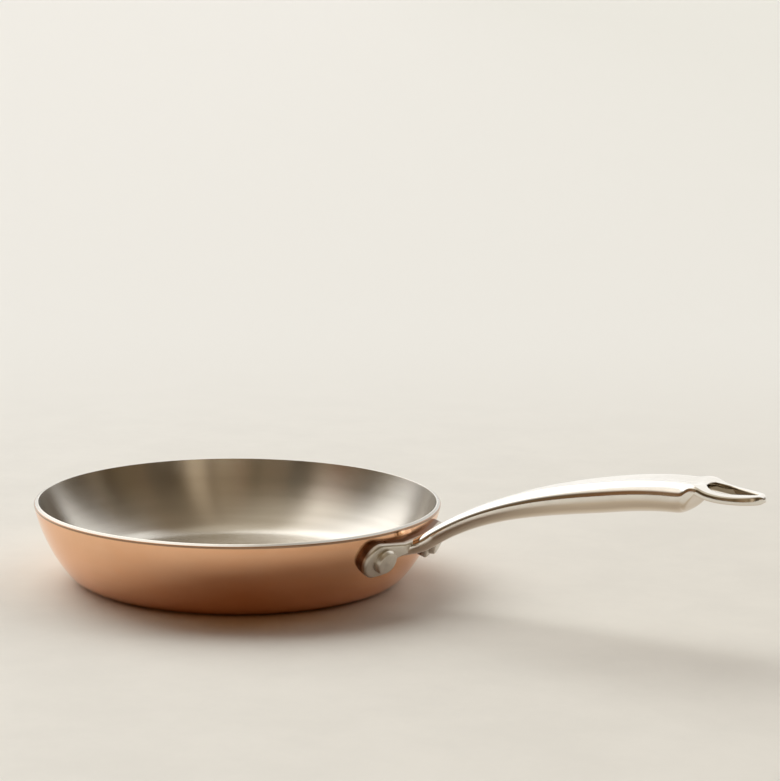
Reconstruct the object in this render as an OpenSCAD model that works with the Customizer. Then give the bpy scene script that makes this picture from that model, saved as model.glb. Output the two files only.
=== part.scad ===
// Small frying pan: a bonded three-layer body with a bare copper outside and a steel lining,
// and one cast steel handle held by two rivets through its ears.
// Millimetres, Z up. The origin is the centre of the flat underside, and the handle runs along X.

/* [Pan body] */
// Diameter over the rim, measured at its outer edge
rim_d = 204; // [190:1:300]
// Height of the rim's outer edge above the surface
pan_h = 39; // [34:0.5:50]
// Radius of the long curve of the wall, seen from the side
wall_r = 81.2; // [75:0.1:110]
// Radius of the turn from the flat base into the wall
corner_r = 15.5; // [10:0.5:20]
// Angle by which the wall still leans out at the rim
rim_lean = 12.5; // [8:0.5:18]
// Angle of the ground rim edge, which falls towards the outside
rim_slope = 26; // [5:1:35]

/* [Wall layers] */
// Thickness of the copper outside
copper_t = 0.6; // [0.3:0.05:1]
// Thickness of the aluminium between
core_t = 1.3; // [0.8:0.05:2]
// Thickness of the steel lining
lining_t = 0.5; // [0.3:0.05:0.8]

/* [Rivets] */
// Distance between the two rivets, centre to centre
rivet_spacing = 47; // [42:0.5:52]
// Height on the outer wall at which the rivets stand
rivet_z = 27.5; // [24:0.5:28.5]
// Diameter of the shank
shank_d = 6; // [4.5:0.1:7]
// Clearance of the shank in its hole, on the diameter
rivet_fit = 0.1; // [0.05:0.05:0.3]
// Diameter of the outer head at its seat
head_d = 12.6; // [10:0.1:13]
// Diameter of the outer head's flat face
face_d = 11.2; // [7:0.1:11.6]
// Height of the outer head
head_h = 2.7; // [1.5:0.1:3.5]
// Height of the straight edge of the outer head, below its bevel
head_edge = 1.1; // [0.4:0.1:1.4]
// Diameter of the inner head
inner_head_d = 11; // [9:0.1:13]
// Height of the inner head
inner_head_h = 2; // [1.4:0.1:3]
// Height of the straight edge of the inner head, below its dome
inner_head_edge = 0.7; // [0.3:0.1:1]

/* [Ears] */
// Thickness of the ears and of the band between them
ear_t = 4.2; // [3:0.1:5]
// Radius of the round end of an ear
ear_r = 9; // [8.4:0.1:9.5]
// Distance by which an ear's round end lies beyond its rivet
ear_reach = 4.6; // [3:0.1:8]
// Height by which the top edge falls from an ear to the band between the ears
band_drop = 2; // [0:0.1:5]
// Width of the bevel round an ear
ear_bevel = 1.1; // [0.5:0.1:1.6]

/* [Handle line] */
// Distance of the neck's start from the wall, along X
neck_out = 6.4; // [6:0.1:10]
// Height of the neck's start above the rivets
neck_up = 6.6; // [5:0.1:9]
// Angle at which the root rises to the neck's start
root_rise = 30; // [15:0.5:35]
// Angle at which the neck rises
neck_rise = 36.7; // [28:0.5:45]
// Distance of the highest point of the grip from the wall
crest_out = 143.9; // [135:0.5:190]
// Height of the highest point of the grip above the rivets
crest_up = 52.6; // [45:0.5:65]
// Distance of the handle's tip from the wall
tip_out = 181.5; // [178:0.5:240]
// Height of the handle's tip above the rivets
tip_up = 48.1; // [42:0.5:60]
// Angle by which the tip turns up again
tip_lift = 2; // [0:0.5:10]

/* [Handle section] */
// Width at the root, where the neck leaves the band
root_w = 15; // [13:0.5:20]
// Depth at the root
root_depth = 8; // [7:0.5:11]
// Width of the neck
neck_w = 11.5; // [9:0.1:14]
// Depth of the neck
neck_depth = 8.1; // [6:0.1:10]
// Width of the grip
grip_w = 27.7; // [22:0.1:32]
// Depth of the grip
grip_depth = 16.8; // [12:0.1:20]
// Depth of the hanging loop
loop_depth = 4; // [3:0.1:6]
// Distance along X over which the root narrows to the neck
root_run = 10; // [6:0.5:14]
// Distance from the wall at which the neck starts to swell
swell_from = 9.5; // [8:0.5:20]
// Distance from the wall at which the grip has its full section
swell_to = 110.5; // [90:0.5:125]
// Distance from the wall at which the underside of the grip starts to round up
belly_from = 141; // [132:0.5:145]
// Distance from the wall at which the grip ends and only the loop goes on
belly_to = 154.5; // [150:0.5:158]
// Length over which the loop's outline rounds to the tip
end_run = 29; // [24:0.5:36]

/* [Hanging hole] */
// Distance of the wide end's centre from the tip
hole_from_tip = 19; // [17:0.1:24]
// Radius of the wide end
hole_r = 8; // [6:0.1:9]
// Radius of the narrow end
hole_end_r = 1.8; // [1:0.1:3]
// Thickness of metal left between the hole and the tip
tip_wall = 3.6; // [3:0.1:6]

/* [Thumb groove] */
// Distance from the wall at which the groove on top of the grip starts
groove_from = 45; // [30:1:80]
// Distance from the wall at which it has its full depth
groove_full = 108; // [90:1:120]
// Distance from the wall at which it has run out, beyond the hole's edge
groove_to = 160; // [156:1:170]
// Length over which it runs out
groove_out = 14; // [8:1:24]
// Depth of its floor below the top line
groove_depth = 2.6; // [0:0.1:3.5]
// Angle at which its two sides rise from the middle
groove_slope = 7; // [4:0.5:10]

/* [Hidden] */
$fn = 96;
// Overrun of every cut past the face that it opens
over = 1;
// Exponent of the handle's section, between an ellipse and a rounded box
section_power = 2.3;
// Number of flats that stand for the corner and for the wall arc in side view
corner_n = 8;
wall_n = 24;
// Number of flats across the inner rivet heads' domes, and between the points of an ear's rounds
dome_n = 5;
ear_n = 12;
// Number of points round a section of the handle, a multiple of four, and half the angle
// between the two points that stand on either side of the groove's floor
section_n = 28;
floor_turn = 1;
// Number of stations in the handle's root, arch and end
root_n = 6;
arch_n = 26;
end_n = 16;
// Share of the arch's length that each end of its curve pulls along the tangent
rise_pull_share = 0.36;
crest_pull_share = 0.26;
dip_pull_share = 0.44;
tip_pull_share = 0.87;
// Share of a sector's radius that its cutting wedge covers
cover_share = 2;

copper = [0.83, 0.50, 0.34];
aluminium = [0.80, 0.80, 0.79];
steel = [0.70, 0.69, 0.66];

wall_t = copper_t + core_t + lining_t;
rim_r = rim_d / 2;

// The wall's side view is a flat base, a corner arc and a long wall arc that meets it smoothly.
// Both arcs are measured from straight down, so the wall arc ends at 90 degrees less the lean.
// The corner touches the table and the wall arc from inside, which sets the flat base's width.
wall_end = 90 - rim_lean;
wall_c = [rim_r - wall_r * sin(wall_end), pan_h + wall_r * cos(wall_end)];
corner_c = [wall_c.x + sqrt((wall_r - corner_r) ^ 2 - (wall_c.y - corner_r) ^ 2), corner_r];
wall_start = atan2(corner_c.x - wall_c.x, wall_c.y - corner_c.y);

// Where the rivets stand on the outer wall, and how far the wall tilts there
mount_end = acos((wall_c.y - rivet_z) / wall_r);
tilt = 90 - mount_end;
mount_x = wall_c.x + wall_r * sin(mount_end);
rivet_turn = asin(rivet_spacing / 2 / mount_x);
// The lining curves away from a flat inner head by this much at the head's rim
inner_r = wall_r - wall_t;
inner_seat = inner_r - sqrt(inner_r ^ 2 - (inner_head_d / 2) ^ 2);

function from_down(a) = [sin(a), -cos(a)];
function ease(a, b, x) = let (t = max(0, min(1, (x - a) / (b - a)))) t * t * (3 - 2 * t);
function mix(a, b, t) = a + (b - a) * t;
function bezier(p, t) = (1 - t) ^ 3 * p[0] + 3 * (1 - t) ^ 2 * t * p[1]
    + 3 * (1 - t) * t ^ 2 * p[2] + t ^ 3 * p[3];
function unit(v) = v / norm(v);
function reverse(v) = [for (i = [len(v) - 1 : -1 : 0]) v[i]];

// A slice of a disc in the side view, from angle a0 to a1, measured from straight down
module slice(centre, r, a0, a1) {
    far = r * cover_share;
    intersection() {
        translate(centre) circle(r);
        translate(centre)
            polygon([[0, 0], far * from_down(a0), far * from_down((a0 + a1) / 2), far * from_down(a1)]);
    }
}

// Points along an arc, measured from straight down
function arc(centre, r, a0, a1, n) = [for (i = [0 : n]) centre + r * from_down(mix(a0, a1, i / n))];

// The angle at which the wall, at a depth below its outer face, meets the ground rim edge
function rim_angle(back) = acos(wall_r * cos(wall_end + rim_slope) / (wall_r - back)) - rim_slope;

// The side view of the surface at a depth below the outer face, from the axis to the rim edge
function side_line(back) = concat(
    [[0, back]],
    arc(corner_c, corner_r - back, 0, wall_start, corner_n),
    [for (i = [1 : wall_n]) wall_c + (wall_r - back) * from_down(mix(wall_start, rim_angle(back), i / wall_n))]
);

module layer(outer, inner) {
    difference() {
        rotate_extrude() polygon(concat(side_line(outer), reverse(side_line(inner))));
        both_rivets() rivet_hole();
    }
}

// The outer form of the wall near the handle, which shapes the back of the ears
module wall_form() {
    rotate([0, 0, -90]) rotate_extrude(angle = 180) slice(wall_c, wall_r, wall_start, wall_end);
}

// Places a child on the wall's outer face with its Z axis straight out of the wall
module on_wall(turn) {
    rotate([0, 0, turn]) translate([mount_x, 0, rivet_z]) rotate([0, 90 + tilt, 0]) children();
}

module both_rivets() {
    for (side = [-1, 1]) on_wall(side * rivet_turn) children();
}

module rivet_hole() {
    deep = wall_t + inner_head_h + over;
    translate([0, 0, -deep]) cylinder(d = shank_d + rivet_fit, h = deep + ear_t + over);
}

module rivet(turn) {
    seat = -wall_t - inner_seat;
    dome_h = inner_head_h - inner_head_edge;
    dome_r = ((inner_head_d / 2) ^ 2 + dome_h ^ 2) / (2 * dome_h);
    dome_c = [0, seat - inner_head_h + dome_r];
    on_wall(turn) rotate_extrude() polygon(concat(
        arc(dome_c, dome_r, 0, asin(inner_head_d / 2 / dome_r), dome_n),
        [[inner_head_d / 2, seat], [shank_d / 2, seat], [shank_d / 2, ear_t], [head_d / 2, ear_t]],
        [[head_d / 2, ear_t + head_edge], [face_d / 2, ear_t + head_h], [0, ear_t + head_h]]
    ));
}

// A point of the ears: u runs along the ear from its rivet, v up the wall and n out of the wall
function ear_x(v, n) = mount_x + v * sin(tilt) + n * cos(tilt);
function ear_point(side, p, n) = let (x = ear_x(p.y, n)) [
    x * cos(rivet_turn) - p.x * sin(rivet_turn),
    side * (x * sin(rivet_turn) + p.x * cos(rivet_turn)),
    rivet_z + p.y * cos(tilt) - n * sin(tilt)
];
// The band bends halfway between a rivet and the handle's middle plane
function bend_u(v, n) = -ear_x(v, n) * tan(rivet_turn / 2);

// Outline of an ear, seen along its rivet: it starts at the bend, follows the straight top edge,
// turns round the ear's end and underside, and comes back to the bend along the lower edge.
function ear_outline(r, n) = concat(
    [[bend_u(r - band_drop, n), r - band_drop]],
    [for (i = [0 : ear_n]) [ear_reach, 0] + r * from_down(180 - 180 * i / ear_n)],
    [for (i = [0 : ear_n / 2]) [-ear_bevel, 0] - r * [sin(180 * i / ear_n), cos(180 * i / ear_n)]],
    [[bend_u(ear_r - r, n), ear_r - r]]
);

// Both ears and the band as one body: three rings of the outline, the last drawn in by the bevel.
// Each outer face is flat and square to its rivet, and a third flat joins the two behind the neck.
module ears() {
    rings = [[ear_r, -ear_t], [ear_r, ear_t - ear_bevel], [ear_r - ear_bevel, ear_t]];
    m = len(ear_outline(ear_r, 0));
    n = 2 * m;
    points = [for (r = rings) let (half = ear_outline(r[0], r[1])) each concat(
        [for (p = half) ear_point(1, p, r[1])],
        [for (k = [m - 1 : -1 : 0]) ear_point(-1, half[k], r[1])]
    )];
    sides = [for (i = [0 : len(rings) - 2]) for (k = [0 : n - 1]) each let (
        a = i * n + k, b = i * n + (k + 1) % n
    ) [[a, b, b + n], [a, b + n, a + n]]];
    back = [[for (k = [m - 1 : -1 : 0]) k], [for (k = [n - 1 : -1 : m]) k], [0, n - 1, m, m - 1]];
    top = 2 * n;
    front = [for (f = back) [for (k = [len(f) - 1 : -1 : 0]) top + f[k]]];
    polyhedron(points, concat(back, sides, front));
}

// The handle's top line in the XZ plane: a straight root, a rising arch to the crest,
// and a short dip that levels out again at the tip
neck_at = [mount_x + neck_out, rivet_z + neck_up];
crest_at = [mount_x + crest_out, rivet_z + crest_up];
tip_at = [mount_x + tip_out, rivet_z + tip_up];
rise_way = [cos(neck_rise), sin(neck_rise)];
lift_way = [cos(tip_lift), sin(tip_lift)];
root_at = neck_at - [1, tan(root_rise)] * (neck_out + ear_t);
arch_w = crest_at.x - neck_at.x;
dip_w = tip_at.x - crest_at.x;
arch = [
    neck_at, neck_at + rise_way * arch_w * rise_pull_share,
    crest_at - [arch_w * crest_pull_share, 0], crest_at
];
dip = [
    crest_at, crest_at + [dip_w * dip_pull_share, 0],
    tip_at - lift_way * dip_w * tip_pull_share, tip_at
];
// Stations crowd towards the tip, where the outline turns fastest
top_line = concat(
    [for (i = [0 : root_n - 1]) mix(root_at, neck_at, i / root_n)],
    [for (i = [0 : arch_n - 1]) bezier(arch, i / arch_n)],
    [for (i = [0 : end_n]) bezier(dip, sin(90 * i / end_n))]
);

// Half the width and the whole depth of the section at a distance x from the axis
function root_share(x) = 1 - ease(mount_x + ear_t, mount_x + ear_t + root_run, x);
function swell_share(x) = ease(mount_x + swell_from, mount_x + swell_to, x);
function belly_share(x) = let (t = max(0, min(1, (x - mount_x - belly_from) / (belly_to - belly_from))))
    sqrt(1 - t * t);
function end_share(x) = let (t = max(0, (x - tip_at.x + end_run) / end_run)) sqrt(max(0, 1 - t * t));
function half_width(x) = end_share(x)
    * (mix(neck_w, grip_w, swell_share(x)) + (root_w - neck_w) * root_share(x)) / 2;
function tip_share(x) = let (t = max(0, (x - tip_at.x + loop_depth / 2) / (loop_depth / 2)))
    sqrt(max(0, 1 - t * t));
function depth(x) = mix(
    loop_depth * tip_share(x),
    mix(neck_depth, grip_depth, swell_share(x)) + (root_depth - neck_depth) * root_share(x),
    belly_share(x)
);

// Depth of the groove at a distance x from the axis
function groove(x) = groove_depth * ease(mount_x + groove_from, mount_x + groove_full, x)
    * (1 - ease(mount_x + groove_to - groove_out, mount_x + groove_to, x));

// One section of the handle: a round-cornered box whose top is cut by the groove's two sides
section_turns = concat(
    [for (k = [0 : section_n / 4 - 1]) 360 * (k + 0.5) / section_n],
    [90 - floor_turn, 90 + floor_turn],
    [for (k = [section_n / 4 : section_n - 1]) 360 * (k + 0.5) / section_n]
);
function signed_power(v) = sign(v) * abs(v) ^ (2 / section_power);
function along(i) = let (last = len(top_line) - 1)
    unit(top_line[min(i + 1, last)] - top_line[max(i - 1, 0)]);
function ring(i) = let (
    p = top_line[i],
    w = half_width(p.x),
    h = depth(p.x) / 2,
    up = [-along(i).y, along(i).x],
    middle = p - up * loop_drop(i, h)
) [for (a = section_turns) let (
    y = w * signed_power(cos(a)),
    z = min(h * signed_power(sin(a)), h - groove(p.x) + abs(y) * tan(groove_slope)),
    q = middle + up * z
) [q.x, y, q.y]];
// The centre of a section lies half its depth below the top line, also where the tip rounds off
function loop_drop(i, h) = top_line[i].x > crest_at.x + dip_w / 2 ? max(h, loop_depth / 2) : h;

module lofted_body() {
    // The last ring has shrunk to a point, so the ring before it is closed by a fan to that point
    last = len(top_line) - 1;
    rings = [for (i = [0 : last - 1]) each ring(i)];
    tip = top_line[last] - [0, loop_depth / 2];
    start = [root_at.x, 0, root_at.y - root_depth / 2];
    n = len(section_turns);
    points = concat(rings, [start, [tip.x, 0, tip.y]]);
    start_at = len(rings);
    faces = concat(
        [for (k = [0 : n - 1]) [start_at, k, (k + 1) % n]],
        [for (i = [0 : last - 2]) for (k = [0 : n - 1]) each let (
            a = i * n + k, b = i * n + (k + 1) % n
        ) [[a, b + n, b], [a, a + n, b + n]]],
        [for (k = [0 : n - 1]) let (base = (last - 1) * n) [base + (k + 1) % n, base + k, start_at + 1]]
    );
    polyhedron(points, faces);
}

// The teardrop hole: two round ends and the straight flanks that touch both
module hole_outline() {
    wide = [tip_at.x - hole_from_tip, 0];
    narrow = [tip_at.x - tip_wall - hole_end_r, 0];
    lean = asin((hole_r - hole_end_r) / (narrow.x - wide.x));
    flank = [sin(lean), cos(lean)];
    translate(wide) circle(hole_r);
    translate(narrow) circle(hole_end_r);
    polygon([
        wide + hole_r * flank,
        narrow + hole_end_r * flank,
        narrow + hole_end_r * [flank.x, -flank.y],
        wide + hole_r * [flank.x, -flank.y]
    ]);
}

module hanging_hole() {
    translate([0, 0, tip_at.y - grip_depth])
        linear_extrude(height = grip_depth + crest_up - tip_up + over) hole_outline();
}

module copper_shell() {
    color(copper) layer(0, copper_t);
}

module aluminium_core() {
    color(aluminium) layer(copper_t, copper_t + core_t);
}

module steel_lining() {
    color(steel) layer(copper_t + core_t, wall_t);
}

module handle() {
    color(steel) difference() {
        union() {
            lofted_body();
            ears();
        }
        wall_form();
        hanging_hole();
        both_rivets() rivet_hole();
    }
}

module right_rivet() {
    color(steel) rivet(-rivet_turn);
}

module left_rivet() {
    color(steel) rivet(rivet_turn);
}

copper_shell();
aluminium_core();
steel_lining();
handle();
right_rivet();
left_rivet();
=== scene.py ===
import bpy
import numpy as np
from math import atan2, cos, pi, radians, sin, sqrt, tan
from mathutils import Euler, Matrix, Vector


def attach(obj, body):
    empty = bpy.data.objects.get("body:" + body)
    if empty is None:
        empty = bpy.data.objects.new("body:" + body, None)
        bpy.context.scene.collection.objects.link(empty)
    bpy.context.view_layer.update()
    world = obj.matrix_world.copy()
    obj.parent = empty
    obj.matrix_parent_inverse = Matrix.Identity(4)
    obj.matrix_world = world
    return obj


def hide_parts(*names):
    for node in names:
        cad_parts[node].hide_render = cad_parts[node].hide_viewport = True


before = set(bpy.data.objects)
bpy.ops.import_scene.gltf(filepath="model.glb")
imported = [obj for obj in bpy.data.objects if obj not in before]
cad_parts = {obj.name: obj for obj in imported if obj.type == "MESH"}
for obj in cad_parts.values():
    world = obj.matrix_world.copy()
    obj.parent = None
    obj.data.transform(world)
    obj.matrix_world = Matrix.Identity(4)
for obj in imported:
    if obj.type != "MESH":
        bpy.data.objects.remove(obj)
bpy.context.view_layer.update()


# The camera stands a little above the rim, in front of the pan, with the handle running to the
# right and towards it. A long lens keeps the far rim nearly as wide as the near one.
HANDLE_TURN = radians(30)
CAMERA_PLACE = (0.6567, -0.9865, 0.3007)
CAMERA_DIP, CAMERA_ROLL = radians(9.817), 0.0149
LENS_MM, SENSOR_MM = 110.77, 36
camera = bpy.data.objects.new("camera", bpy.data.cameras.new("camera"))
bpy.context.scene.collection.objects.link(camera)
camera.location = CAMERA_PLACE
looking = Euler((pi / 2 - CAMERA_DIP, 0, HANDLE_TURN)).to_matrix()
camera.rotation_euler = (looking @ Euler((0, 0, CAMERA_ROLL)).to_matrix()).to_euler()
camera.data.sensor_width = SENSOR_MM
camera.data.lens = LENS_MM
bpy.context.scene.camera = camera
bpy.context.scene.view_settings.view_transform = "Standard"


def add(tree, kind, *values, **settings):
    """Adds a shader node: settings are its properties, and the values fill its inputs in order,
    as a link where the value is another node's output."""
    node = tree.nodes.new("ShaderNode" + kind)
    for name, value in settings.items():
        setattr(node, name, value)
    for socket, value in zip(node.inputs, values):
        if isinstance(value, bpy.types.NodeSocket):
            tree.links.new(value, socket)
        elif value is not None:
            socket.default_value = value
    return node


def sum_of(tree, a, b, operation="ADD"):
    """The result of one sum on two numbers, a and b."""
    return add(tree, "Math", a, b, operation=operation).outputs[0]


def times(tree, a, b):
    """The product of two numbers, a and b."""
    return sum_of(tree, a, b, "MULTIPLY")


def fade(tree, value, low, high, start=0.0, end=1.0):
    """A number that goes smoothly from start to end as value goes from low to high."""
    step = add(tree, "MapRange", value, low, high, start, end, interpolation_type="SMOOTHSTEP")
    return step.outputs[0]


def tint(tree, share, first, second):
    """The first colour where share is 0 and the second where it is 1."""
    mix = tree.nodes.new("ShaderNodeMix")
    mix.data_type = "RGBA"
    for socket, value in zip((mix.inputs[0], mix.inputs[6], mix.inputs[7]), (share, first, second)):
        if isinstance(value, bpy.types.NodeSocket):
            tree.links.new(value, socket)
        else:
            socket.default_value = value
    return mix.outputs[2]


# The room is a plain studio that only the metal mirrors: a pale wall behind, a window on the left
# with a round soft light beside it, a pale ceiling, and a dim warm side behind the camera with a
# few upright panels in it, which show as soft streaks in the steel lining.
world = bpy.data.worlds.new("studio")
bpy.context.scene.world = world
world.cycles_visibility.diffuse = False
world.use_nodes = True
room = world.node_tree
room.nodes.clear()
way = add(room, "Mapping", add(room, "TexCoord").outputs["Generated"], vector_type="VECTOR")
way.inputs["Rotation"].default_value = (0, 0, -HANDLE_TURN)
across, away, height = add(room, "SeparateXYZ", way.outputs[0]).outputs
# The angle to the side: 0 is straight behind the camera, and the window's side is less than 0.
side = add(room, "Math", across, times(room, away, -1.0), operation="ARCTAN2").outputs[0]
# Each panel: its angle in degrees, then its red, green and blue.
PANELS = [
    (-180, 0.80, 0.76, 0.70), (-100, 0.30, 0.25, 0.18), (-86, 0.13, 0.095, 0.06),
    (-72, 0.15, 0.09, 0.045), (-60, 0.20, 0.10, 0.045), (-51, 0.26, 0.18, 0.11),
    (-40, 0.09, 0.06, 0.03), (-32, 0.07, 0.048, 0.025), (-26, 0.15, 0.10, 0.055),
    (-14, 0.18, 0.125, 0.07), (-8, 0.13, 0.09, 0.045), (2, 0.25, 0.17, 0.10),
    (14, 0.30, 0.22, 0.13), (22, 0.22, 0.155, 0.09), (27, 0.50, 0.39, 0.26),
    (33, 0.52, 0.41, 0.28), (40, 0.16, 0.115, 0.065), (46, 0.075, 0.05, 0.025),
    (59, 0.08, 0.055, 0.028), (65, 0.15, 0.10, 0.055), (78, 0.15, 0.105, 0.055),
    (90, 0.09, 0.062, 0.032), (100, 0.19, 0.145, 0.095), (110, 0.11, 0.08, 0.05),
    (130, 0.20, 0.17, 0.13),
]
panels = add(room, "ValToRGB", add(room, "MapRange", side, -pi, pi, 0.0, 1.0).outputs[0])
for turn, *panel_colour in PANELS:
    stop = panels.color_ramp.elements.new((turn + 180) / 360)
    stop.color = (*panel_colour, 1)
haze = fade(room, height, 0.40, 0.85, 0, 0.75)
CEILING_SLANT, WALL_LEAN = 0.35, 0.84
slanted = sum_of(room, height, times(room, across, CEILING_SLANT), "SUBTRACT")
ceiling = fade(room, slanted, 0.70, 1.0)
window = fade(room, side, radians(-62), radians(-40), 1, 0)
window = times(room, window, fade(room, height, 0.375, 0.695))
window = times(room, window, fade(room, height, 0.90, 0.995, 1, 0))
lean = times(room, height, WALL_LEAN)
left_wall = fade(room, sum_of(room, lean, side, "SUBTRACT"), radians(100), radians(132))
right_wall = fade(room, sum_of(room, lean, side), radians(128), radians(150))
walls = sum_of(room, left_wall, right_wall, "MAXIMUM")
walls = times(room, walls, fade(room, height, 0.80, 0.95, 1, 0))
ROUND_LIGHT_WAY = (-0.489, 0.543, 0.682)
round_light = add(room, "VectorMath", way.outputs[0], ROUND_LIGHT_WAY, operation="DOT_PRODUCT")
round_light = fade(room, round_light.outputs["Value"], cos(radians(38)), cos(radians(24)))
# Each light covers what lies under it by its share.
seen = panels.outputs[0]
for share, colour in (
    (haze, (0.30, 0.235, 0.16, 1)),
    (ceiling, (0.66, 0.59, 0.47, 1)),
    (window, (1.22, 1.14, 1.02, 1)),
    (walls, (1.15, 1.14, 1.11, 1)),
    (round_light, (2.0, 1.98, 1.92, 1)),
):
    seen = tint(room, share, seen, colour)
room.links.new(
    add(room, "Background", seen, 1.0).outputs[0],
    add(room, "OutputWorld").inputs["Surface"],
)


def studio_lamp(name, spread, strength, colour, way):
    """A distant round lamp, spread wide, that shines on the floor from the given way and that the
    metal doesn't mirror."""
    lamp = bpy.data.objects.new(name, bpy.data.lights.new(name, "SUN"))
    lamp.data.angle, lamp.data.energy, lamp.data.color = spread, strength, colour
    lamp.rotation_euler = Vector(way).to_track_quat("Z", "Y").to_euler()
    lamp.visible_glossy = False
    bpy.context.scene.collection.objects.link(lamp)


# Three pale lamps stand behind the pan, and a weak warm one overhead does for the light that the
# copper throws on the floor.
to_room = Euler((0, 0, HANDLE_TURN)).to_matrix()
for name, spread, strength, colour, lamp_way in (
    ("key", 54, 1.98, (0.96, 1.0, 0.99), (-0.341, 0.591, 0.731)),
    ("left_fill", 60, 1.22, (0.965, 1.0, 1.02), (-0.66, 0.54, 0.52)),
    ("right_fill", 60, 1.22, (0.965, 1.0, 1.02), (0.60, 0.61, 0.52)),
    ("top_fill", 150, 0.27, (1.0, 0.42, 0.15), (0, 0, 1)),
):
    studio_lamp(name, radians(spread), strength, colour, to_room @ Vector(lamp_way))


# The floor is a wide matt plaster sheet in warm white, with faint clouds and a fine grain. Its
# colour carries painted light: it is lighter to the left and further back.
FLOOR_HALF, FLOOR_LEVEL = 60.0, -0.0001
floor_mesh = bpy.data.meshes.new("floor")
corner_signs = ((-1, -1), (1, -1), (1, 1), (-1, 1))
floor_corners = [(x * FLOOR_HALF, y * FLOOR_HALF, FLOOR_LEVEL) for x, y in corner_signs]
floor_mesh.from_pydata(floor_corners, [], [(0, 1, 2, 3)])
floor = bpy.data.objects.new("floor", floor_mesh)
bpy.context.scene.collection.objects.link(floor)


def new_finish(name, colour, roughness, metallic=0.0):
    """A material with one Principled shader: returns the material, its tree, the shader and the
    output of its Object coordinates. A link may take the place of the plain colour or roughness."""
    finish = bpy.data.materials.new(name)
    finish.use_nodes = True
    tree = finish.node_tree
    shader = tree.nodes["Principled BSDF"]
    shader.inputs["Base Color"].default_value = (*colour, 1)
    shader.inputs["Roughness"].default_value = roughness
    shader.inputs["Metallic"].default_value = metallic
    return finish, tree, shader, add(tree, "TexCoord").outputs["Object"]


def relief(tree, shader, strength, depth, height):
    """Turns a height into a bump of the given depth in metres, at a strength from 0 to 1."""
    bump = add(tree, "Bump", strength, depth)
    tree.links.new(height, bump.inputs["Height"])
    tree.links.new(bump.outputs[0], shader.inputs["Normal"])


plaster, tree, shader, place = new_finish("plaster", (0.80, 0.78, 0.73), 0.85)
shader.inputs["Specular IOR Level"].default_value = 0.25
clouds = add(tree, "TexNoise", place, None, 17.0, 7.0, 0.68).outputs[0]
grain = add(tree, "TexNoise", place, None, 420.0, 2.0, 0.6).outputs[0]
turned_place = add(tree, "Mapping", place, vector_type="VECTOR")
turned_place.inputs["Rotation"].default_value = (0, 0, -HANDLE_TURN)
right, back, _ = add(tree, "SeparateXYZ", turned_place.outputs[0]).outputs
# Painted light: the floor is painted lighter on the left and at the back, as if more light fell
# there.
NEAR_LEFT, NEAR_RIGHT = (0.815, 0.785, 0.715, 1), (0.760, 0.725, 0.650, 1)
FAR_LEFT, FAR_RIGHT = (0.862, 0.843, 0.790, 1), (0.822, 0.808, 0.745, 1)
near = tint(tree, fade(tree, right, -0.30, 0.34), NEAR_LEFT, NEAR_RIGHT)
far = tint(tree, fade(tree, right, -0.6, 1.6), FAR_LEFT, FAR_RIGHT)
painted_falloff = tint(tree, fade(tree, back, -0.10, 0.9), near, far)
far_off = add(tree, "VectorMath", place, operation="LENGTH").outputs["Value"]
darker = fade(tree, far_off, 0.25, 0.7, 0.975, 1.0)
lighter = fade(tree, far_off, 0.25, 0.7, 1.02, 1.0)
value = fade(tree, clouds, 0.3, 0.7, darker, lighter)
mottled = add(tree, "HueSaturation", 0.5, 1.0, value, 1.0, painted_falloff).outputs[0]
tree.links.new(mottled, shader.inputs["Base Color"])
relief(tree, shader, 0.2, 0.0003, grain)
floor_mesh.materials.append(plaster)


# The copper outside is a sheet bonded to the core, spun to a flat base, a small turn and a long
# wall that still leans out at the rim. It is brushed round and round, and left bare.
RIM_R, PAN_H, WALL_R, CORNER_R = 0.102, 0.039, 0.0812, 0.0155
WALL_END = radians(90 - 12.5)
RIM_SLOPE = radians(26)
COPPER_T, CORE_T, LINING_T = 0.0006, 0.0013, 0.0005
WALL_T = COPPER_T + CORE_T + LINING_T
WALL_C = np.array([RIM_R - WALL_R * sin(WALL_END), PAN_H + WALL_R * cos(WALL_END)])
CORNER_OUT = sqrt((WALL_R - CORNER_R) ** 2 - (WALL_C[1] - CORNER_R) ** 2)
CORNER_C = np.array([WALL_C[0] + CORNER_OUT, CORNER_R])
WALL_START = atan2(CORNER_C[0] - WALL_C[0], WALL_C[1] - CORNER_C[1])
ROUND_N = 320
COPPER_EDGE_R = 0.00034


def arc(centre, r, start, end, n):
    """n points on a circle's arc, with the angle counted from straight down."""
    turn = np.linspace(start, end, n)
    return np.column_stack([centre[0] + r * np.sin(turn), centre[1] - r * np.cos(turn)])


def side_line(back, flat_n, corner_n, wall_n):
    """The wall's side view at a depth back below its outer face, from the axis to the rim: a
    straight base, the corner arc and the wall arc, which ends where the ground edge crosses it."""
    end = np.arccos(WALL_R * cos(WALL_END + RIM_SLOPE) / (WALL_R - back)) - RIM_SLOPE
    base = np.column_stack([np.linspace(0, CORNER_C[0], flat_n), np.full(flat_n, back)])
    corner = arc(CORNER_C, CORNER_R - back, 0, WALL_START, corner_n)
    return np.vstack([base, corner[1:], arc(WALL_C, WALL_R - back, WALL_START, end, wall_n)[1:]])


def rounded(line, at, r, n=5):
    """The line with the corner at index at cut back by r and replaced by a smooth curve of n
    points, each a mix of the corner and the two cut points by the weights of a parabola."""
    before = line[at] + r * (line[at - 1] - line[at]) / np.linalg.norm(line[at - 1] - line[at])
    after = line[at] + r * (line[at + 1] - line[at]) / np.linalg.norm(line[at + 1] - line[at])
    t = np.linspace(0, 1, n)[:, None]
    curve = (1 - t) ** 2 * before + 2 * t * (1 - t) * line[at] + t ** 2 * after
    return np.vstack([line[:at], curve, line[at + 1:]])


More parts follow.
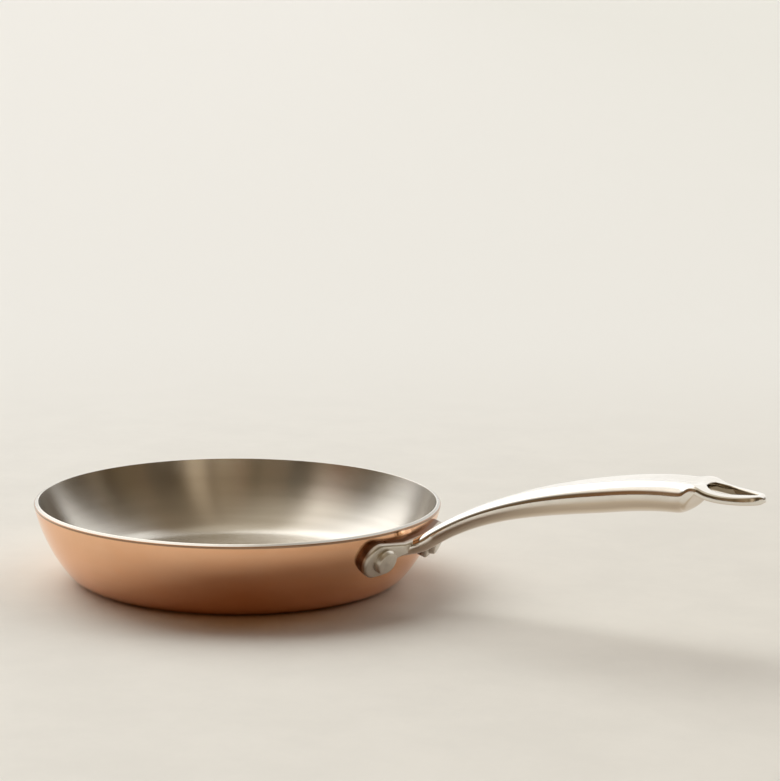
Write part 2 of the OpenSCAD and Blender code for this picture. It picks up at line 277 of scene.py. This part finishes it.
def shaped(name, points, faces, finish, sharp=38):
    """Makes an object from points and faces. The faces are turned round together if the volume,
    the sum of their corner tetrahedra, comes out negative."""
    volume = sum(
        np.einsum("ij,ij->i", points[f[:, 0]], np.cross(points[f[:, k]], points[f[:, k + 1]])).sum()
        for f in faces for k in range(1, f.shape[1] - 1)
    )
    outward = [f[:, ::-1] if volume < 0 else f for f in faces]
    mesh = bpy.data.meshes.new(name)
    mesh.from_pydata(points.tolist(), [], [corners for f in outward for corners in f.tolist()])
    mesh.polygons.foreach_set("use_smooth", np.ones(len(mesh.polygons), dtype=bool))
    mesh.set_sharp_from_angle(angle=radians(sharp))
    mesh.materials.append(finish)
    piece = bpy.data.objects.new(name, mesh)
    bpy.context.scene.collection.objects.link(piece)
    return piece


def new_piece(name, points, faces, finish, slot, *nodes, sharp=38):
    """Makes a piece that rides on the root body and stands for the named nodes."""
    piece = shaped(name, points, faces, finish, sharp)
    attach(piece, "root")
    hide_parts(*nodes)
    return piece


def grid_faces(rows, n, closed=True):
    """The quads between neighbouring rows of n points, closed into a tube round each row."""
    k = np.arange(n if closed else n - 1)
    start = (np.arange(rows - 1) * n)[:, None]
    nxt = (k + 1) % n
    return np.stack([start + k, start + nxt, start + n + nxt, start + n + k], axis=-1).reshape(-1, 4)


def turned(line, n):
    """Points and faces of a line of radius and height turned round the Z axis: each ring is the
    line's point at n equal angles, and the first and last points, on the axis, close it."""
    turn = np.arange(n) * 2 * pi / n
    ring = line[1:-1, None, :]
    across, level = ring[..., 0], ring[..., 1] + 0 * turn
    points = np.stack([across * np.cos(turn), across * np.sin(turn), level], -1)
    rows = len(line) - 2
    k = np.arange(n)
    low, high = rows * n, rows * n + 1
    fans = np.vstack([
        np.column_stack([np.full(n, low), (k + 1) % n, k]),
        np.column_stack([np.full(n, high), (rows - 1) * n + k, (rows - 1) * n + (k + 1) % n]),
    ])
    ends = [[0, 0, line[0, 1]], [0, 0, line[-1, 1]]]
    return np.vstack([points.reshape(-1, 3), ends]), [grid_faces(rows, n), fans]


def effect(name, inputs, outputs):
    """A shader node group with named inputs, each with its value, and named outputs."""
    group = bpy.data.node_groups.new(name, "ShaderNodeTree")
    for key_name, value in inputs.items():
        kind = "NodeSocketVector" if value is None else "NodeSocketFloat"
        socket = group.interface.new_socket(key_name, in_out="INPUT", socket_type=kind)
        if value is not None:
            socket.default_value = value
    for key_name in outputs:
        group.interface.new_socket(key_name, in_out="OUTPUT", socket_type="NodeSocketFloat")
    return group, group.nodes.new("NodeGroupInput").outputs, group.nodes.new("NodeGroupOutput").inputs


# Lines left by a wheel that runs round the pan: noise read at the distance along the side view,
# stretched round the axis, so that it draws rings on the base and level lines on the wall.
LINES_PER_M, PATCHES_PER_M = 1300.0, 12.0
ring_inputs = {"Place": None, "Fineness": 1.0}
ring_lines, given, taken = effect("ring_lines", ring_inputs, ["Height", "Bands", "Wear"])
x, y, z = add(ring_lines, "SeparateXYZ", given["Place"]).outputs
level = add(ring_lines, "CombineXYZ", x, y, 0.0).outputs[0]
radius = add(ring_lines, "VectorMath", level, operation="LENGTH").outputs["Value"]
run = times(ring_lines, sum_of(ring_lines, radius, z), LINES_PER_M)
run = times(ring_lines, run, given["Fineness"])
patch_x, patch_y = times(ring_lines, x, PATCHES_PER_M), times(ring_lines, y, PATCHES_PER_M)
stretched = add(ring_lines, "CombineXYZ", patch_x, patch_y, run).outputs[0]
hair = add(ring_lines, "TexNoise", stretched, None, 1.0, 2.0, 0.5).outputs[0]
ring_lines.links.new(hair, taken["Height"])
broad = add(ring_lines, "VectorMath", stretched, (0.6, 0.6, 0.13), operation="MULTIPLY").outputs[0]
bands = add(ring_lines, "TexNoise", broad, None, 1.0, 2.0, 0.5).outputs[0]
ring_lines.links.new(bands, taken["Bands"])
wear = add(ring_lines, "TexNoise", given["Place"], None, 38.0, 4.0, 0.6).outputs[0]
ring_lines.links.new(wear, taken["Wear"])


def place_effect(tree, group, place, **values):
    """Puts a node group into a material and gives its outputs."""
    node = tree.nodes.new("ShaderNodeGroup")
    node.node_tree = group
    tree.links.new(place, node.inputs["Place"])
    for name, value in values.items():
        node.inputs[name].default_value = value
    return node.outputs


def turn_grain(tree, shader, share):
    """Stretches reflections across the lines that run round the Z axis, as brushing does."""
    shader.inputs["Anisotropic"].default_value = share
    shader.inputs["Anisotropic Rotation"].default_value = 0.25
    tangent = tree.nodes.new("ShaderNodeTangent")
    tangent.direction_type = "RADIAL"
    tangent.axis = "Z"
    tree.links.new(tangent.outputs[0], shader.inputs["Tangent"])


copper, tree, shader, place = new_finish("brushed_copper", (0.90, 0.55, 0.36), 0.24, 1.0)
lines = place_effect(tree, ring_lines, place, Fineness=1.0)
tarnish = add(tree, "TexNoise", place, None, 16.0, 5.0, 0.6, None, None, None, 0.4).outputs[0]
tarnish = fade(tree, tarnish, 0.35, 0.72)
FRESH, TARNISHED, BANDED = (0.97, 0.595, 0.375, 1), (0.95, 0.53, 0.305, 1), (0.955, 0.565, 0.345, 1)
RIM_EDGE_SHADE = (0.36, 0.225, 0.145, 1)
worn = tint(tree, tarnish, FRESH, TARNISHED)
worn = tint(tree, fade(tree, lines["Bands"], 0.35, 0.75), worn, BANDED)
# Painted shade: the copper's top, just under the rim's edge, is painted dark brown.
level_z = add(tree, "SeparateXYZ", place).outputs[2]
painted_rim_shade = fade(tree, level_z, PAN_H - 0.0011, PAN_H - 0.0007)
tree.links.new(tint(tree, painted_rim_shade, worn, RIM_EDGE_SHADE), shader.inputs["Base Color"])
tree.links.new(fade(tree, lines["Wear"], 0.3, 0.75, 0.13, 0.18), shader.inputs["Roughness"])
relief(tree, shader, 0.10, 0.00004, lines["Height"])
turn_grain(tree, shader, 0.55)

outside = side_line(0, 10, 22, 60)
inside = side_line(COPPER_T, 3, 8, 20)
copper_line = rounded(np.vstack([outside, inside[::-1]]), len(outside) - 1, COPPER_EDGE_R, 9)
new_piece("copper_outside", *turned(copper_line, ROUND_N), copper, "copper", "copper_shell", sharp=60)


# The core is soft aluminium, bonded between the copper and the lining. It shows only as a pale
# line at the ground and polished rim.
bright_edge, tree, shader, place = new_finish("ground_aluminium", (0.48, 0.455, 0.415), 0.24, 1.0)
lines = place_effect(tree, ring_lines, place, Fineness=2.0)
tree.links.new(fade(tree, lines["Wear"], 0.3, 0.7, 0.16, 0.30), shader.inputs["Roughness"])
relief(tree, shader, 0.08, 0.00003, lines["Height"])
core_out = side_line(COPPER_T, 3, 8, 24)
core_in = side_line(COPPER_T + CORE_T, 3, 8, 24)
core_line = np.vstack([core_out, core_in[::-1]])
new_piece("rim_core", *turned(core_line, ROUND_N), bright_edge, "core", "aluminium_core")


# The lining is a thin stainless sheet, bonded to the core and satin polished in rings. Broad faint
# bands and soft patches of wear run round it.
LINING_EDGE_R = 0.00025
CLEAR_STEEL, BANDED_STEEL = (0.69, 0.655, 0.60, 1), (0.65, 0.615, 0.56, 1)
lining, tree, shader, place = new_finish("satin_lining", (0.74, 0.72, 0.69), 0.30, 1.0)
lines = place_effect(tree, ring_lines, place, Fineness=0.8)
banded = tint(tree, fade(tree, lines["Bands"], 0.35, 0.7), CLEAR_STEEL, BANDED_STEEL)
tree.links.new(banded, shader.inputs["Base Color"])
tree.links.new(fade(tree, lines["Wear"], 0.3, 0.75, 0.19, 0.23), shader.inputs["Roughness"])
relief(tree, shader, 0.06, 0.00003, lines["Height"])
turn_grain(tree, shader, 0.95)
lining_out = side_line(COPPER_T + CORE_T, 3, 8, 20)
lining_in = side_line(WALL_T, 10, 22, 60)
lining_line = np.vstack([lining_out, lining_in[::-1]])
lining_line = rounded(lining_line, len(lining_out), LINING_EDGE_R)
new_piece("steel_inside", *turned(lining_line, ROUND_N), lining, "lining", "steel_lining", sharp=60)


# The handle is one stainless casting. Its grip is polished: a slim neck that rises and swells
# into a round-cornered bar, with a shallow groove for the thumb and a flat loop to hang it by.
RIVET_Z, RIVET_SPACING = 0.0275, 0.047
MOUNT_END = np.arccos((WALL_C[1] - RIVET_Z) / WALL_R)
TILT = pi / 2 - MOUNT_END
MOUNT_X = WALL_C[0] + WALL_R * sin(MOUNT_END)
RIVET_TURN = np.arcsin(RIVET_SPACING / 2 / MOUNT_X)
EAR_T = 0.0042
ROOT_RUN = 0.0064
NECK = np.array([MOUNT_X + ROOT_RUN, RIVET_Z + 0.0066])
CREST = np.array([MOUNT_X + 0.1439, RIVET_Z + 0.0526])
TIP = np.array([MOUNT_X + 0.1815, RIVET_Z + 0.0481])
NECK_RISE, TIP_LIFT, ROOT_RISE = radians(36.7), radians(2), radians(30)
ROOT_W, ROOT_DEPTH, NECK_W, NECK_DEPTH = 0.015, 0.008, 0.0115, 0.0081
GRIP_W, GRIP_DEPTH, LOOP_DEPTH = 0.0277, 0.0168, 0.004
SWELL_FROM, SWELL_TO, BELLY_FROM, BELLY_TO, END_RUN = 0.0095, 0.1105, 0.141, 0.1545, 0.029
GROOVE_FROM, GROOVE_FULL, GROOVE_TO, GROOVE_OUT = 0.045, 0.108, 0.160, 0.014
GROOVE_DEPTH, GROOVE_SLOPE, GROOVE_BLEND = 0.0026, radians(7), 0.0004
LEAN_TO = 0.013
SECTION_POWER = 2.3
FILLET_R = 0.003
CROWN_FROM, CROWN_TO, LOOP_CROWN = 0.146, 0.1555, 0.72
LOOP_POWER, LOOP_DRAFT = 7.0, radians(10)


def ease(low, high, x):
    """0 below low, 1 above high and a smooth cubic step, 3 t^2 - 2 t^3, between them."""
    t = np.clip((x - low) / (high - low), 0, 1)
    return t * t * (3 - 2 * t)


def bezier(a, b, c, d, t):
    """The cubic curve with ends a and d that leaves towards b and arrives from c."""
    t = t[:, None]
    return (1 - t) ** 3 * a + 3 * (1 - t) ** 2 * t * b + 3 * (1 - t) * t ** 2 * c + t ** 3 * d


def top_line():
    """The grip's top in side view: a straight root that starts inside the wall, an arch up to
    the crest and a dip to the tip, with points crowding where the outline turns fastest."""
    rise = np.array([cos(NECK_RISE), sin(NECK_RISE)])
    lift = np.array([cos(TIP_LIFT), sin(TIP_LIFT)])
    arch_w, dip_w = CREST[0] - NECK[0], TIP[0] - CREST[0]
    start = NECK - ROOT_RUN * np.array([1, tan(ROOT_RISE)])
    root = start + np.linspace(0, 1, 12)[:-1, None] * (NECK - start)
    from_neck, to_crest = NECK + 0.36 * arch_w * rise, CREST - [0.26 * arch_w, 0]
    arch = bezier(NECK, from_neck, to_crest, CREST, np.linspace(0, 1, 131)[:-1])
    from_crest, to_tip = CREST + [0.44 * dip_w, 0], TIP - 0.87 * dip_w * lift
    dip = bezier(CREST, from_crest, to_tip, TIP, np.sin(np.linspace(0, pi / 2, 120)))
    return np.vstack([root, arch, dip])


def grip_rings(n=112):
    """Rings of n points round the grip. Each is a curve |y/w|^p + |z/h|^p = 1 under the top line,
    with its top cut by the two sides of the groove. Near the wall the rings lie along the wall
    and flare by a quarter circle, which makes the fillet where the neck meets the ears. In the
    loop the power rises, for a flat bar whose sides lean in by the draft."""
    line = top_line()
    along = np.gradient(line, axis=0)
    along /= np.linalg.norm(along, axis=1)[:, None]
    up = np.column_stack([-along[:, 1], along[:, 0]])
    x = line[:, 0] - MOUNT_X
    wall_up = np.array([sin(TILT), cos(TILT)])
    lean = ease(0.0, LEAN_TO, x)[:, None]
    up = wall_up * (1 - lean) + up * lean
    up /= np.linalg.norm(up, axis=1)[:, None]
    swell = ease(SWELL_FROM, SWELL_TO, x)
    root = 1 - ease(EAR_T, EAR_T + 0.010, x)
    end = np.clip((line[:, 0] - TIP[0] + END_RUN) / END_RUN, 0, 1)
    gap = np.clip(x - EAR_T, 0, FILLET_R)
    fillet = FILLET_R - np.sqrt(FILLET_R ** 2 - (FILLET_R - gap) ** 2)
    width = NECK_W + (GRIP_W - NECK_W) * swell + (ROOT_W - NECK_W) * root
    half_w = np.sqrt(np.clip(1 - end ** 2, 0, 1)) * (width / 2 + fillet)
    tip = np.clip((line[:, 0] - TIP[0] + LOOP_DEPTH / 2) / (LOOP_DEPTH / 2), 0, 1)
    loop = LOOP_DEPTH * np.sqrt(np.clip(1 - tip ** 2, 0, 1))
    belly = np.clip((x - BELLY_FROM) / (BELLY_TO - BELLY_FROM), 0, 1)
    grip = NECK_DEPTH + (GRIP_DEPTH - NECK_DEPTH) * swell + (ROOT_DEPTH - NECK_DEPTH) * root
    grip = loop + (grip - loop) * np.sqrt(1 - belly ** 2)
    depth = np.maximum(grip, loop)
    late = ease(CROWN_FROM, CROWN_TO, x)
    crown = GRIP_DEPTH / 2 + (LOOP_CROWN * LOOP_DEPTH - GRIP_DEPTH / 2) * late
    crown = np.minimum(crown, depth * (0.5 + (LOOP_CROWN - 0.5) * late))
    loop_drop = np.maximum(crown, LOOP_CROWN * LOOP_DEPTH)
    drop = np.where(line[:, 0] > (CREST[0] + TIP[0]) / 2, loop_drop, crown)
    groove = GROOVE_DEPTH * ease(GROOVE_FROM, GROOVE_FULL, x)
    groove = groove * (1 - ease(GROOVE_TO - GROOVE_OUT, GROOVE_TO, x))
    turn = (np.arange(n) + 0.5) * 2 * pi / n
    turn = np.sort(np.append(turn, pi / 2))
    power = (SECTION_POWER + (LOOP_POWER - SECTION_POWER) * late)[:, None]
    out = half_w[:, None] * np.abs(np.cos(turn)) ** (2 / power)
    upper, lower = crown[:, None], (depth - crown)[:, None]
    z = np.where(np.sin(turn) > 0, upper, -lower) * np.abs(np.sin(turn)) ** (2 / power)
    drawn_in = out - tan(LOOP_DRAFT) * late[:, None] * np.maximum(z, 0)
    y = np.sign(np.cos(turn)) * np.maximum(drawn_in, 0.4 * out)
    cut = (crown - groove)[:, None] + np.sqrt(y ** 2 + GROOVE_BLEND ** 2) * tan(GROOVE_SLOPE)
    grooved = 0.5 * (z + cut - np.sqrt((z - cut) ** 2 + GROOVE_BLEND ** 2))
    z = np.where(groove[:, None] > 1e-6, grooved, z)
    middle = line - up * drop[:, None]
    return np.stack([middle[:, :1] + up[:, :1] * z, y, middle[:, 1:] + up[:, 1:] * z], axis=-1)


def capped(rings):
    """Points and faces of a closed tube: the rings' quads and a fan over each end ring."""
    rows, n = rings.shape[:2]
    points = np.vstack([rings.reshape(-1, 3), rings[0].mean(0), rings[-1].mean(0)])
    k = np.arange(n)
    last = (rows - 1) * n
    fans = np.vstack([
        np.column_stack([np.full(n, rows * n), (k + 1) % n, k]),
        np.column_stack([np.full(n, rows * n + 1), last + k, last + (k + 1) % n]),
    ])
    return points, [grid_faces(rows, n), fans]


# Fine marks of the polishing cloth and of use, the same on the grip, the ears and the rivets.
rub_marks, given, taken = effect("rub_marks", {"Place": None, "Fineness": 1.0}, ["Height", "Wear"])
long_way = add(rub_marks, "Mapping", given["Place"])
long_way.inputs["Scale"].default_value = (60, 900, 900)
hair = add(rub_marks, "TexNoise", long_way.outputs[0], None, given["Fineness"], 3.0, 0.65).outputs[0]
rub_marks.links.new(hair, taken["Height"])
rub = add(rub_marks, "TexNoise", given["Place"], None, 70.0, 4.0, 0.6).outputs[0]
rub_marks.links.new(rub, taken["Wear"])

polished, tree, shader, place = new_finish("polished_steel", (0.78, 0.745, 0.69), 0.10, 1.0)
marks = place_effect(tree, rub_marks, place, Fineness=1.0)
tree.links.new(fade(tree, marks["Wear"], 0.3, 0.75, 0.075, 0.16), shader.inputs["Roughness"])
POLISHED, RUBBED = (0.81, 0.775, 0.72, 1), (0.76, 0.725, 0.67, 1)
UNDERSIDE_SHADE, HOLE_WALL_SHADE = (0.66, 0.56, 0.45, 1), (0.30, 0.25, 0.18, 1)
bright = tint(tree, fade(tree, marks["Wear"], 0.35, 0.7), POLISHED, RUBBED)
# Painted shade: faces that turn downwards are painted a darker, warmer steel.
facing_up = add(tree, "SeparateXYZ", add(tree, "NewGeometry").outputs["Normal"]).outputs[2]
bright = tint(tree, fade(tree, facing_up, -0.3, 0.05), UNDERSIDE_SHADE, bright)
# Painted shade: the hanging hole's wall is painted dark brown.
painted_hole_shade = add(tree, "Attribute", attribute_name="hole_shade").outputs["Fac"]
tree.links.new(tint(tree, painted_hole_shade, bright, HOLE_WALL_SHADE), shader.inputs["Base Color"])
relief(tree, shader, 0.05, 0.00003, marks["Height"])
rings = grip_rings()
points, faces = capped(rings)
grip = new_piece("handle_grip", points, faces, polished, "handle", "handle", sharp=60)

# The hanging hole is a teardrop whose edges are eased: a tube of outlines, each a little wider
# near the loop's top and bottom faces, is cut out of the grip. Its wall is painted dark brown, as
# painted shade inside the hole.
HOLE_X, HOLE_R, HOLE_END_R, TIP_WALL = TIP[0] - 0.019, 0.008, 0.0018, 0.0036
NARROW_X = TIP[0] - TIP_WALL - HOLE_END_R


def hole_outline(grow, n=40):
    """The teardrop, grown outwards: an arc of the wide end, then an arc of the narrow end."""
    lean = np.arcsin((HOLE_R - HOLE_END_R) / (NARROW_X - HOLE_X))
    wide = np.linspace(pi / 2 - lean, 3 * pi / 2 + lean, 2 * n)
    slim = np.linspace(-pi / 2 + lean, pi / 2 - lean, n)
    return np.vstack([
        np.column_stack([x + (r + grow) * np.cos(turn), (r + grow) * np.sin(turn)])
        for x, r, turn in ((HOLE_X, HOLE_R, wide), (NARROW_X, HOLE_END_R, slim))
    ])


line = top_line()
EASED = 0.0006
# Each outline: its level in halves of the loop's depth, and how far it grows in parts of EASED.
upper = [(0.5, 0.0), (0.75, 0.2), (0.9, 0.55), (1.0, 1.0), (1.25, 1.6), (5.0, 1.6)]
lower = [(-level_share, grow_share) for level_share, grow_share in reversed(upper)]
cutter_rings = []
for level_share, grow_share in lower + upper:
    outline = hole_outline(EASED * grow_share)
    loop_z = np.interp(outline[:, 0], line[:, 0], line[:, 1]) - LOOP_DEPTH / 2
    cutter_rings.append(np.column_stack([outline, loop_z + level_share * LOOP_DEPTH / 2]))
points, faces = capped(np.array(cutter_rings))
cutter = shaped("cutter", points, faces, polished)
cut = grip.modifiers.new("hole", "BOOLEAN")
cut.operation, cut.solver, cut.object = "DIFFERENCE", "EXACT", cutter
drilled = bpy.data.meshes.new_from_object(grip.evaluated_get(bpy.context.evaluated_depsgraph_get()))
grip.modifiers.clear()
grip.data = drilled
drilled.polygons.foreach_set("use_smooth", np.ones(len(drilled.polygons), dtype=bool))
drilled.set_sharp_from_angle(angle=radians(45))
bpy.data.objects.remove(cutter)


def past_hole(x, y):
    """How far points lie outside the teardrop: from the wide circle, the slim one or the straight
    side between them, whichever the point faces."""
    length = NARROW_X - HOLE_X
    lean = (HOLE_R - HOLE_END_R) / length
    level = sqrt(1 - lean ** 2)
    x, y = x - HOLE_X, np.abs(y)
    along = level * x - lean * y
    from_side = lean * x + level * y - HOLE_R
    ends = np.where(along < 0, np.hypot(x, y) - HOLE_R, np.hypot(x - length, y) - HOLE_END_R)
    return np.where((along < 0) | (along > level * length), ends, from_side)


corners = np.empty(3 * len(drilled.vertices))
drilled.vertices.foreach_get("co", corners)
# Painted shade: this marks the points on the hole's wall, which the steel paints dark brown.
in_hole = 1 - ease(0.3 * EASED, 0.95 * EASED, past_hole(corners[0::3], corners[1::3]))
hole_shade = drilled.attributes.new("hole_shade", "FLOAT", "POINT")
hole_shade.data.foreach_set("value", in_hole.astype(np.float32))


# Two ears and the band between them hold the neck to the wall, cast in one with it. They are
# left satin, flat in front and square to the rivets, with a soft bevel all round. Their side wall
# next to the copper is painted dark brown, as painted shade in the seam beside the wall.
EAR_R, EAR_REACH, EAR_BEVEL, BAND_DROP = 0.009, 0.0035, 0.0008, 0.002
EAR_SINK, SEAM_LOW, SEAM_HIGH = 0.0022, 0.0016, 0.0020


def ear_ring(r, out):
    """The ears' outline at a distance out from the wall, drawn in to the radius r: it runs over
    the left ear from the bend of the band and round its end, and back over the right ear."""
    lift = EAR_R - r
    end = np.linspace(pi / 2, -pi / 2, 40)
    under = np.linspace(-pi / 2, -pi, 20)
    half = np.vstack([
        [[0, r - BAND_DROP]],
        np.column_stack([EAR_REACH + r * np.cos(end), r * np.sin(end)]),
        np.column_stack([-EAR_BEVEL + r * np.cos(under), r * np.sin(under)]),
        [[0, lift]],
    ])
    x = MOUNT_X + half[:, 1] * sin(TILT) + out * cos(TILT)
    half[[0, -1], 0] = -x[[0, -1]] * tan(RIVET_TURN / 2)
    z = RIVET_Z + half[:, 1] * cos(TILT) - out * sin(TILT)
    left = np.column_stack([
        x * cos(RIVET_TURN) - half[:, 0] * sin(RIVET_TURN),
        x * sin(RIVET_TURN) + half[:, 0] * cos(RIVET_TURN), z,
    ])
    return np.vstack([left, left[::-1] * [1, -1, 1]])


satin, tree, shader, place = new_finish("satin_steel", (0.66, 0.635, 0.59), 0.33, 1.0)
marks = place_effect(tree, rub_marks, place, Fineness=1.6)
tree.links.new(fade(tree, marks["Wear"], 0.3, 0.75, 0.27, 0.42), shader.inputs["Roughness"])
CLEAN, DULL, SEAM_SHADE = (0.72, 0.675, 0.60, 1), (0.62, 0.575, 0.505, 1), (0.15, 0.08, 0.045, 1)
clean = tint(tree, fade(tree, marks["Wear"], 0.35, 0.7), CLEAN, DULL)
# Painted shade: the ears' side wall next to the copper is painted dark brown, by a value on each
# point.
seam_shade = add(tree, "Attribute", attribute_name="seam_shade").outputs["Fac"]
tree.links.new(tint(tree, seam_shade, clean, SEAM_SHADE), shader.inputs["Base Color"])
relief(tree, shader, 0.12, 0.00005, marks["Height"])
SOFT = 0.00025
# Each ring of the ears: its radius, its distance out from the wall, and its painted seam shade
# from 0 to 1.
ear_steps = [
    (EAR_R, -EAR_SINK, 1.0),
    (EAR_R, SEAM_LOW, 1.0),
    (EAR_R, SEAM_HIGH, 0.45),
    (EAR_R, EAR_T - EAR_BEVEL - SOFT, 0.35),
    (EAR_R - 0.3 * SOFT, EAR_T - EAR_BEVEL + 0.3 * SOFT, 0.1),
    (EAR_R - EAR_BEVEL + 0.5 * SOFT, EAR_T - 0.8 * SOFT, 0.0),
    (EAR_R - EAR_BEVEL - 0.4 * SOFT, EAR_T - 0.15 * SOFT, 0.0),
    (EAR_R - EAR_BEVEL - 2 * SOFT, EAR_T, 0.0),
]
rings = np.array([ear_ring(r, out) for r, out, _ in ear_steps])
rows, n = rings.shape[:2]
half = n // 2
k = np.arange(half)


def ear_cover(start):
    """Flat faces over one ring of the ears, as a fan for each ear and one quad for the band."""
    band = [start, start + n - 1, start + half, start + half - 1]
    return [np.array([start + k]), np.array([start + half + k]), np.array([band])]


covers = [f[:, ::-1] for f in ear_cover(0)] + ear_cover((rows - 1) * n)
faces = [grid_faces(rows, n)] + covers
ears = new_piece("handle_ears", rings.reshape(-1, 3), faces, satin, "handle", "handle", sharp=50)
seam_shade = ears.data.attributes.new("seam_shade", "FLOAT", "POINT")
seam_shade.data.foreach_set("value", np.repeat([shade_share for _, _, shade_share in ear_steps], n).astype(np.float32))


# Two rivets pass through the ears and the wall. The outer heads are turned flat with a narrow
# bevel, and the inner heads are low domes that stand on the lining.
SHANK_R, HEAD_R, FACE_R, HEAD_H, HEAD_EDGE = 0.003, 0.0063, 0.0056, 0.0027, 0.0011
INNER_R, INNER_H, INNER_EDGE = 0.0055, 0.002, 0.0007
SUNK, FACE_CROWN, SOFT_EDGE = 0.0003, 0.00012, 0.0003
inner_wall_r = WALL_R - WALL_T
seat = -WALL_T - (inner_wall_r - sqrt(inner_wall_r ** 2 - INNER_R ** 2))
dome_h = INNER_H - INNER_EDGE
dome_r = (INNER_R ** 2 + dome_h ** 2) / (2 * dome_h)
dome = arc([0, seat - INNER_H + dome_r], dome_r, 0, np.arcsin(INNER_R / dome_r), 14)
collar = np.array([
    [INNER_R, seat + SUNK], [SHANK_R, seat + SUNK],
    [SHANK_R, EAR_T - SUNK], [HEAD_R, EAR_T - SUNK],
    [HEAD_R, EAR_T + HEAD_EDGE], [FACE_R, EAR_T + HEAD_H],
])
face_r = np.linspace(FACE_R, 0, 9)[1:]
face = np.column_stack([face_r, EAR_T + HEAD_H + FACE_CROWN * (1 - (face_r / FACE_R) ** 2)])
rivet_line = np.vstack([dome, collar, face])
for corner in (len(dome) + 5, len(dome) + 4):
    rivet_line = rounded(rivet_line, corner, SOFT_EDGE)
lay = np.array(Euler((0, pi / 2 + TILT, 0)).to_matrix())
for name, node, turn in (
    ("rivet_right", "right_rivet", -RIVET_TURN),
    ("rivet_left", "left_rivet", RIVET_TURN),
):
    points, faces = turned(rivet_line, 96)
    stand = np.array(Euler((0, 0, turn)).to_matrix())
    points = (points @ lay.T + [MOUNT_X, 0, RIVET_Z]) @ stand.T
    new_piece(name, points, faces, satin, "rivet", node, sharp=50)
